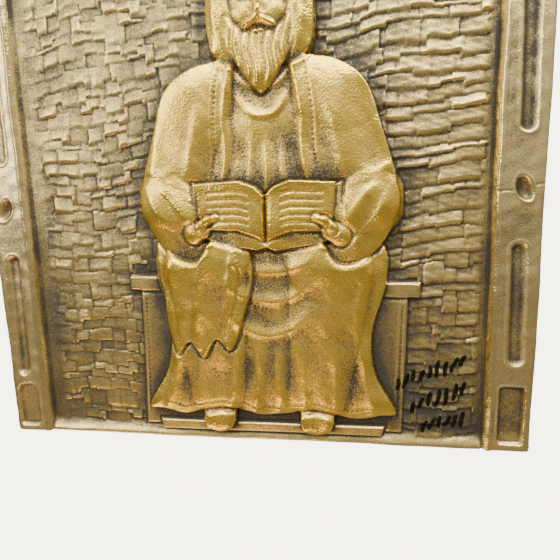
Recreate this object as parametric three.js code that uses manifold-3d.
// Brass relief plaque: a seated reader with an open book, before a wall of rough stone,
// between two border strips with sunk slots. It is worked in one piece, with a flat back.
//
// Millimetres, +Z up. The back is the plane y = 0 and the front faces -Y.
// The origin is the centre of the back.

import * as THREE from 'three';
import { mergeVertices } from 'three/addons/utils/BufferGeometryUtils.js';
import Module from 'manifold-3d';

const { clamp, smoothstep } = THREE.MathUtils;

// Driving dimensions. A height stands out from the back, a level is above the lower edge.
const WIDTH = 500;
const HEIGHT = 455;
const CORNER = 5;
const EDGE_WAVE = 0.9;
const GROUND = 5;
const STRIP = 44;
const STRIP_HEIGHT = 12.5;
const LIP = 15;
const LIP_HEIGHT = 10.5;
const COURSE = 26;
const FIGURE_AT = 18;

// ---------------------------------------------------------------------------
// Relief: each form takes a place (u, v) and the height there, and returns the new height.

// The straight runs of a curve through a few points, or of the points themselves if sharp.
function runsThrough(points, closed, sharp) {
  const corners = points.map(([u, v]) => new THREE.Vector3(u, v, 0));
  const path = new THREE.CatmullRomCurve3(corners, closed, 'catmullrom');
  const line = sharp ? [...corners, corners[0]] : path.getPoints(points.length * 4);
  return line.slice(1).map((end, i) => ({ start: line[i], du: end.x - line[i].x, dv: end.y - line[i].y }));
}

// Distance to the runs, the side that (u, v) is on, how far along it is, and its depth inside.
function measure(runs, u, v) {
  const nearest = { gap: Infinity, side: 1, part: 0 };
  let inside = false;
  runs.forEach(({ start, du, dv }, i) => {
    const pu = u - start.x;
    const pv = v - start.y;
    const t = clamp((pu * du + pv * dv) / (du * du + dv * dv), 0, 1);
    const gap = Math.hypot(pu - t * du, pv - t * dv);
    if (gap < nearest.gap) {
      Object.assign(nearest, { gap, side: Math.sign(du * pv - dv * pu) || 1, part: (i + t) / runs.length });
    }
    if ((start.y > v) !== (start.y + dv > v) && u < start.x + ((v - start.y) / dv) * du) inside = !inside;
  });
  return { ...nearest, depth: inside ? nearest.gap : -nearest.gap };
}

// A form that leaves everything further than reach from its points as it is.
function near(points, reach, form) {
  const box = new THREE.Box2().setFromPoints(points.map(([u, v]) => new THREE.Vector2(u, v)));
  box.expandByScalar(reach);
  const place = new THREE.Vector2();
  return (u, v, h) => (box.containsPoint(place.set(u, v)) ? form(u, v, h) : h);
}

// A raised shape with its own top, which hides what is under it.
function lay(outline, top, { edge = 5, sharp = false } = {}) {
  const runs = runsThrough(outline, true, sharp);
  return near(outline, 2, (u, v, h) => {
    const { depth } = measure(runs, u, v);
    return THREE.MathUtils.lerp(h, top(depth, u, v), smoothstep(depth, 0, edge));
  });
}

// One more thickness of cloth over what is there.
function over(outline, thickness) {
  const runs = runsThrough(outline, true, false);
  return near(outline, 2, (u, v, h) => h + thickness * smoothstep(measure(runs, u, v).depth, 0, 3));
}

// A round limb from one joint to the next, which swells out of what is there.
function limb(from, to, radii, bases, swells) {
  const du = to[0] - from[0];
  const dv = to[1] - from[1];
  return near([from, to], Math.max(...radii) + 3, (u, v, h) => {
    const t = clamp(((u - from[0]) * du + (v - from[1]) * dv) / (du * du + dv * dv), 0, 1);
    const gap = Math.hypot(u - from[0] - t * du, v - from[1] - t * dv);
    const radius = THREE.MathUtils.lerp(...radii, t);
    const round = Math.sqrt(Math.max(0, 1 - (gap / radius) ** 2));
    const top = THREE.MathUtils.lerp(...bases, t) + THREE.MathUtils.lerp(...swells, t) * round;
    return gap < radius ? higher(h, top) : h;
  });
}

// A fold of cloth along a line, which dies out at its ends. A negative height is a furrow.
function fold(points, height, wide, { steep = wide * 0.6, ends = [0.35, 0.2] } = {}) {
  const runs = runsThrough(points, false, false);
  return near(points, 3 * wide, (u, v, h) => {
    const { gap, side, part } = measure(runs, u, v);
    const along = smoothstep(part, 0, ends[0]) * smoothstep(1 - part, 0, ends[1]);
    return h + height * along * Math.exp(-((gap / (side > 0 ? wide : steep)) ** 2));
  });
}

// A swelling or a hollow of oval plan.
function swell([atU, atV], [halfU, halfV], height) {
  return (u, v, h) => h + height * Math.max(0, 1 - ((u - atU) / halfU) ** 2 - ((v - atV) / halfV) ** 2);
}

const higher = (a, b, soft = 3) => Math.max(a, b) + Math.max(soft - Math.abs(a - b), 0) ** 2 / (4 * soft);
const dome = (q) => Math.sqrt(1 - (1 - clamp(q, 0, 1)) ** 2);
const mirrored = (half) => [...half, ...half.filter(([u]) => u > 0).map(([u, v]) => [-u, v]).reverse()];
const bothSides = (make) => [-1, 1].flatMap((s) => make(([u, v]) => [s * u, v], s));
const box = (halfWidth, low, high) => mirrored([[halfWidth, high], [halfWidth, low]]);

// ---------------------------------------------------------------------------
// The wall, laid in courses whose faces lean out towards their lower edge.

const courses = (u, v, h) => {
  const level = (v - 0.05 * u) / COURSE;
  const down = 1 - (level - Math.floor(level));
  return h + 1.4 * down;
};

// ---------------------------------------------------------------------------
// The seated reader. u is measured from the middle of the figure, v from the plaque's lower edge.

const bench = [
  lay(box(124, 12, 150), () => 3.6, { edge: 3, sharp: true }),
  lay(box(134, 142, 158), () => 5.2, { edge: 3, sharp: true }),
  lay(box(106, 8, 20), () => 6.0, { edge: 3, sharp: true }),
];

const MANTLE = mirrored([[0, 352], [30, 345], [62, 337], [86, 318], [100, 280], [112, 240], [112, 208],
  [88, 194], [0, 188]]);
const OPENING = mirrored([[0, 346], [22, 338], [27, 300], [28, 262], [36, 226], [0, 216]]);
const SKIRT = mirrored([[0, 228], [50, 226], [86, 210], [105, 184], [105, 154], [95, 112], [99, 72],
  [119, 34], [80, 25], [40, 33], [0, 26]]);
const MANTLE_END = [[-60, 214], [-34, 206], [-16, 188], [-12, 160], [-20, 124], [-32, 92], [-46, 102],
  [-58, 84], [-72, 98], [-86, 84], [-100, 104], [-110, 140], [-112, 176], [-100, 206]];

const mantle = [
  lay(MANTLE, (d) => 8.5 + 4.5 * dome(d / 30)),
  ...bothSides((at) => [
    limb(at([64, 308]), at([86, 234]), [31, 25], [9, 9], [8.5, 7.5]),
    limb(at([40, 318]), at([64, 308]), [22, 28], [9, 9], [7, 8]),
    fold([at([62, 322]), at([78, 282]), at([84, 246])], 1.6, 6),
    fold([at([46, 318]), at([56, 276]), at([62, 240])], 1.8, 6),
    fold([at([110, 256]), at([92, 246]), at([70, 254])], 1.5, 4.5),
  ]),
  lay(OPENING, (d) => 12 + 1.5 * dome(d / 20), { edge: 3 }),
  ...bothSides((at) => [fold([at([24, 340]), at([32, 300]), at([33, 262]), at([41, 228])], 1.6, 4)]),
  ...[-14, 0, 14].map((u) => fold([[u, 292], [u * 1.1, 262], [u * 1.3, 222]], 1.6, 4)),
];

const skirt = [
  lay(SKIRT, (d) => 7 + 4 * dome(d / 22)),
  ...bothSides((at) => [
    limb(at([55, 168]), at([46, 52]), [36, 25], [8.5, 8], [10.5, 6]),
    limb(at([36, 206]), at([55, 172]), [30, 35], [8.5, 8.5], [9.5, 11]),
    fold([at([98, 176]), at([82, 150]), at([74, 110])], 2, 6),
    fold([at([80, 140]), at([84, 90]), at([98, 28])], 3, 6.5, { ends: [0.5, 0.02] }),
    fold([at([64, 130]), at([68, 90]), at([80, 28])], 2.2, 6, { ends: [0.5, 0.02] }),
    fold([at([20, 112]), at([22, 74]), at([30, 28])], 2.6, 5, { ends: [0.5, 0.02] }),
    fold([at([7, 112]), at([8, 74]), at([10, 28])], 3.2, 5, { ends: [0.5, 0.02] }),
  ]),
  ...[[186, 20], [170, 26], [152, 34], [130, 40]].map(([level, sag]) => (
    fold([[-44, level], [-24, level - 0.72 * sag], [0, level - sag], [26, level - 0.72 * sag], [46, level]],
      2.4, 6, { steep: 3.5, ends: [0.32, 0.32] }))),
  over(MANTLE_END, 2.4),
  ...[[-22, -33], [-40, -58], [-70, -88], [-90, -104]].map(([top, hem]) => (
    fold([[top, 200], [(top + hem) / 2 - 4, 150], [hem, 96]], 2.2, 5, { ends: [0.4, 0.02] }))),
];

const sleeves = bothSides((at) => [
  lay([[112, 226], [104, 196], [84, 176], [62, 172], [50, 188], [46, 204], [62, 228], [92, 240]].map(at),
    (d) => 12.5 + 4 * dome(d / 16), { edge: 4 }),
  limb(at([88, 226]), at([54, 211]), [24, 17], [12.5, 13], [9, 8.5]),
  fold([at([106, 238]), at([90, 212]), at([66, 184])], 2, 4.5),
  fold([at([98, 242]), at([78, 226]), at([60, 198])], 1.5, 4.5),
]);

const FACE = { level: 384, halfWidth: 26, halfHeight: 34 };
const oval = new THREE.EllipseCurve(0, FACE.level, FACE.halfWidth, FACE.halfHeight).getPoints(12).slice(1);

const head = [
  lay(mirrored([[0, 437], [22, 432], [38, 415], [46, 387], [46, 360], [38, 341], [0, 330]]),
    (d) => 9.5 + 9.5 * dome(d / 26)),
  lay(oval.map(({ x, y }) => [x, y]), (d, u, v) => {
    const out = ((u / FACE.halfWidth) ** 2 + ((v - FACE.level) / FACE.halfHeight) ** 2) * 0.85;
    return 11.5 + 7.5 * Math.sqrt(Math.max(0, 1 - out));
  }, { edge: 4 }),
  ...bothSides((at) => [swell(at([10, 392]), [11, 4], 1.7), swell(at([10.5, 385]), [8.5, 5.4], -1.6)]),
  swell([0, 379], [5, 14], 3.6),
  lay(mirrored([[0, 366.5], [11, 366], [20, 373], [27, 372], [28, 352], [21, 336], [10, 320], [0, 312]]),
    (d) => 15 + 4.2 * dome(d / 16), { edge: 3 }),
  ...[-18, -9, 0, 9, 18].map((u) => fold([[u, 364], [u * 0.8, 344], [u * 0.3, 318]], -1.3, 3.5, { steep: 3.5 })),
];

const book = [
  lay([[-64, 242], [-60, 193], [-8, 182], [0, 185], [8, 182], [62, 193], [66, 242], [0, 226]], () => 19,
    { edge: 3, sharp: true }),
  ...bothSides((at) => [
    lay([[0, 231], [8, 238], [22, 243], [60, 241], [57, 200], [24, 200], [9, 195], [0, 190]].map(at),
      (d, u) => 20.8 + 2.6 * Math.sin(clamp(Math.abs(u) / 60, 0, 1) ** 0.6 * Math.PI), { edge: 3, sharp: true }),
  ]),
];

const hands = bothSides((at) => [
  limb(at([62, 204]), at([53, 203]), [10, 11], [17, 17.5], [5.5, 6]),
  limb(at([60, 211]), at([43, 221]), [6, 5], [20.5, 21], [4.4, 4]),
]);

const shoes = bothSides((at) => [
  lay([[32, 32], [29, 28], [33, 15], [46, 11], [59, 15], [63, 28], [60, 32]].map(at), (d) => 8 + 6 * dome(d / 12)),
]);

const forms = [courses, ...bench, ...shoes, ...mantle, ...skirt, ...sleeves, ...head, ...book, ...hands];

// The figure leans a little and its knees are not quite level.
function reliefAt(x, v) {
  const u = x - FIGURE_AT - 3 * Math.sin(v / 120) - 0.012 * (v - 200);
  const kneeTilt = 0.035 * (x - FIGURE_AT) * Math.exp(-(((v - 170) / 90) ** 2));
  return forms.reduce((h, form) => form(u, v + kneeTilt, h), 0);
}

// ---------------------------------------------------------------------------
// Solids

const wasm = await Module();
wasm.setup();

function solid(geometry) {
  const bare = geometry.clone();
  bare.deleteAttribute('normal');
  bare.deleteAttribute('uv');
  const closed = mergeVertices(bare);
  return new wasm.Manifold(new wasm.Mesh({
    numProp: 3,
    vertProperties: new Float32Array(closed.attributes.position.array),
    triVerts: new Uint32Array(closed.index.array),
  }));
}

function geometryOf(manifold) {
  const mesh = manifold.getMesh();
  const geometry = new THREE.BufferGeometry();
  geometry.setAttribute('position', new THREE.BufferAttribute(mesh.vertProperties, 3));
  geometry.setIndex(new THREE.BufferAttribute(mesh.triVerts, 1));
  geometry.computeVertexNormals();
  return geometry;
}

// The net over the field: a square of right-angled triangles, each halved only where the relief
// bends by more than the tolerance.
const CELLS = 128;
const TOLERANCE = 0.75;
const FIELD_HALF_WIDTH = WIDTH / 2 - STRIP + 3;
const FIELD_HALF_HEIGHT = HEIGHT / 2 - 7;

function fieldNet() {
  const across = CELLS + 1;
  const points = [];
  for (let j = 0; j <= CELLS; j += 1) {
    for (let i = 0; i <= CELLS; i += 1) {
      const x = THREE.MathUtils.lerp(-FIELD_HALF_WIDTH, FIELD_HALF_WIDTH, i / CELLS);
      const z = THREE.MathUtils.lerp(-FIELD_HALF_HEIGHT, FIELD_HALF_HEIGHT, j / CELLS);
      points.push(new THREE.Vector3(x, -GROUND - reliefAt(x, z + HEIGHT / 2), z));
    }
  }
  const at = (i, j) => j * across + i;
  const held = (i, j) => i >= 0 && j >= 0 && i <= CELLS && j <= CELLS;

  // How much each point matters: its own bend, or that of any finer point that hangs on it.
  const bend = new Float32Array(points.length);
  const settle = (i, j, ends, finer) => {
    const [a, b] = ends.map(([di, dj]) => points[at(i + di, j + dj)].y);
    const own = Math.abs(points[at(i, j)].y - (a + b) / 2);
    const below = finer.map(([di, dj]) => (held(i + di, j + dj) ? bend[at(i + di, j + dj)] : 0));
    bend[at(i, j)] = Math.max(own, ...below);
  };
  for (let s = 1; s < CELLS; s *= 2) {
    const q = s / 2;
    const diagonals = s > 1 ? [[-q, -q], [q, -q], [-q, q], [q, q]] : [];
    for (let j = 0; j <= CELLS; j += s) {
      for (let i = 0; i <= CELLS; i += s) {
        const odd = [(i / s) % 2 === 1, (j / s) % 2 === 1];
        if (odd[0] && !odd[1]) settle(i, j, [[-s, 0], [s, 0]], diagonals);
        if (!odd[0] && odd[1]) settle(i, j, [[0, -s], [0, s]], diagonals);
      }
    }
    for (let j = s; j < CELLS; j += 2 * s) {
      for (let i = s; i < CELLS; i += 2 * s) {
        const rising = ((i - s) / (2 * s) + (j - s) / (2 * s)) % 2 === 0;
        settle(i, j, rising ? [[-s, -s], [s, s]] : [[-s, s], [s, -s]], [[-s, 0], [s, 0], [0, -s], [0, s]]);
      }
    }
  }

  const triangles = [];
  const halve = (a, b, c) => {
    const middle = [(a[0] + b[0]) / 2, (a[1] + b[1]) / 2];
    const whole = middle.every(Number.isInteger);
    if (whole && bend[at(...middle)] > TOLERANCE) {
      halve(c, a, middle);
      halve(b, c, middle);
    } else {
      triangles.push([at(...a), at(...b), at(...c)]);
    }
  };
  halve([CELLS, CELLS], [0, 0], [CELLS, 0]);
  halve([0, 0], [CELLS, CELLS], [0, CELLS]);
  return { points, triangles };
}

// The field closed into a block: walls from the net's border to the back, and a fan on the back.
function fieldBlock() {
  const { points, triangles } = fieldNet();
  const corners = [];
  const face = (...three) => three.forEach((p) => corners.push(p.x, p.y, p.z));
  const toBack = ({ x, z }) => new THREE.Vector3(x, 0, z);
  const middle = new THREE.Vector3(0, 0, 0);
  const edges = new Map();
  triangles.forEach((triangle) => {
    face(...triangle.map((n) => points[n]));
    triangle.forEach((n, k) => edges.set(`${n} ${triangle[(k + 1) % 3]}`, [n, triangle[(k + 1) % 3]]));
  });
  edges.forEach(([a, b]) => {
    if (edges.has(`${b} ${a}`)) return;
    const [front, next] = [points[a], points[b]];
    face(next, front, toBack(front));
    face(next, toBack(front), toBack(next));
    face(toBack(next), toBack(front), middle);
  });
  const geometry = new THREE.BufferGeometry();
  geometry.setAttribute('position', new THREE.Float32BufferAttribute(corners, 3));
  return geometry;
}

// A shape drawn on the front, in x and z, drawn out from the back to a given height.
function drawnOut(shape, low, high, slope = 0) {
  const geometry = new THREE.ExtrudeGeometry(shape, {
    depth: high - low - slope, steps: 1, curveSegments: 5,
    bevelEnabled: slope > 0, bevelThickness: slope, bevelSize: slope * 0.6, bevelSegments: 1,
  });
  return geometry.translate(0, 0, low + slope).rotateX(Math.PI / 2);
}

// A bar along the plaque's side or end, from its section: [distance from the edge, height].
function sideStrip(side) {
  const section = [[-2, 0], [-2, GROUND], [0, GROUND], [1.5, 9], [4, 11.8], [8, STRIP_HEIGHT], [34, 12], [38, 13.3],
    [40, 12.4], [43, 7], [STRIP + 3, GROUND - 0.5], [STRIP + 3, 0]];
  const shape = new THREE.Shape(section.map(([d, h]) => new THREE.Vector2(side * (WIDTH / 2 - d), -h)));
  return new THREE.ExtrudeGeometry(shape, { depth: HEIGHT, bevelEnabled: false }).translate(0, 0, -HEIGHT / 2);
}

function endLip(side) {
  const section = [[-2, 0], [-2, GROUND - 1], [0, GROUND - 1], [1, 9], [3, LIP_HEIGHT], [6, 9.6], [11, 6.4],
    [LIP, GROUND - 0.5], [LIP, 0]];
  const shape = new THREE.Shape(section.map(([d, h]) => new THREE.Vector2(-h, side * (HEIGHT / 2 - d))));
  const bar = new THREE.ExtrudeGeometry(shape, { depth: WIDTH - 20, bevelEnabled: false });
  const [alongX, alongY, alongZ] = [new THREE.Vector3(1, 0, 0), new THREE.Vector3(0, 1, 0), new THREE.Vector3(0, 0, 1)];
  const turn = new THREE.Matrix4().makeBasis(alongY, alongZ, alongX);
  return bar.translate(0, 0, 10 - WIDTH / 2).applyMatrix4(turn);
}

// The plaque's outline, hammered a little out of true.
function blank() {
  const shape = new THREE.Shape();
  const steps = 9;
  const sides = [[-1, -1], [1, -1], [1, 1], [-1, 1]];
  sides.forEach(([sx, sz], k) => {
    const [nx, nz] = sides[(k + 1) % 4];
    for (let i = 0; i <= steps; i += 1) {
      const t = i / steps;
      const end = clamp(Math.min(t, 1 - t) * steps, 0, 1);
      const wave = -EDGE_WAVE * (1 + Math.sin(7 * t + 2.3 * k)) * 0.5 * end;
      const pull = (a, b, half) => THREE.MathUtils.lerp(a * (half - CORNER * Math.abs(b - a) / 2),
        b * (half - CORNER * Math.abs(b - a) / 2), t) + (a === b ? a * wave : 0);
      shape[k + i === 0 ? 'moveTo' : 'lineTo'](pull(sx, nx, WIDTH / 2), pull(sz, nz, HEIGHT / 2));
    }
  });
  shape.closePath();
  return drawnOut(shape, 0, 40);
}

// Sunk slots and panels of the strips: [side, low level, high level].
const SLOT_WIDTH = 12;
const PANEL_WIDTH = 21;
const SUNK = 4;
const SLOTS = [[1, 81, 185], [1, 274, 378], [-1, 62, 181], [-1, 268, 388]];
const PANELS = [[1, 8, 61], [1, 396, 447], [-1, 8, 52], [-1, 400, 447]];
const DIMPLES = [[1, 228], [-1, 224]];

function sunk([side, low, high], width, rounding) {
  const x = side * (WIDTH / 2 - 19.5);
  const floor = new THREE.Shape();
  const [left, right] = [x - width / 2 + rounding, x + width / 2 - rounding];
  const [bottom, top] = [low - HEIGHT / 2 + rounding, high - HEIGHT / 2 - rounding];
  floor.absarc(right, top, rounding, 0, Math.PI / 2);
  floor.absarc(left, top, rounding, Math.PI / 2, Math.PI);
  floor.absarc(left, bottom, rounding, Math.PI, 1.5 * Math.PI);
  floor.absarc(right, bottom, rounding, 1.5 * Math.PI, 2 * Math.PI);
  return drawnOut(floor, STRIP_HEIGHT - SUNK, STRIP_HEIGHT + 10, SUNK);
}

function dimple([side, level]) {
  const ball = new THREE.SphereGeometry(1, 12, 8).scale(7, 5.5, 8).rotateY(side * 0.4);
  return ball.translate(side * (WIDTH / 2 - 19), -STRIP_HEIGHT, level - HEIGHT / 2);
}

function plaque() {
  const border = [sideStrip(-1), sideStrip(1), endLip(-1), endLip(1)];
  const hollows = [
    ...SLOTS.map((slot) => sunk(slot, SLOT_WIDTH - 4, (SLOT_WIDTH - 4) / 2 - 0.1)),
    ...PANELS.map((panel) => sunk(panel, PANEL_WIDTH - 4, 2)),
    ...DIMPLES.map(dimple),
  ];
  let body = solid(fieldBlock());
  border.forEach((bar) => { body = body.add(solid(bar)); });
  hollows.forEach((hollow) => { body = body.subtract(solid(hollow)); });
  return geometryOf(body.intersect(solid(blank())));
}

const brass = new THREE.MeshStandardMaterial({ color: 0xa88a4e, roughness: 0.42, metalness: 1 });
const mesh = new THREE.Mesh(plaque(), brass);
mesh.name = 'plaque';

const group = new THREE.Group();
group.add(mesh);

export default group;
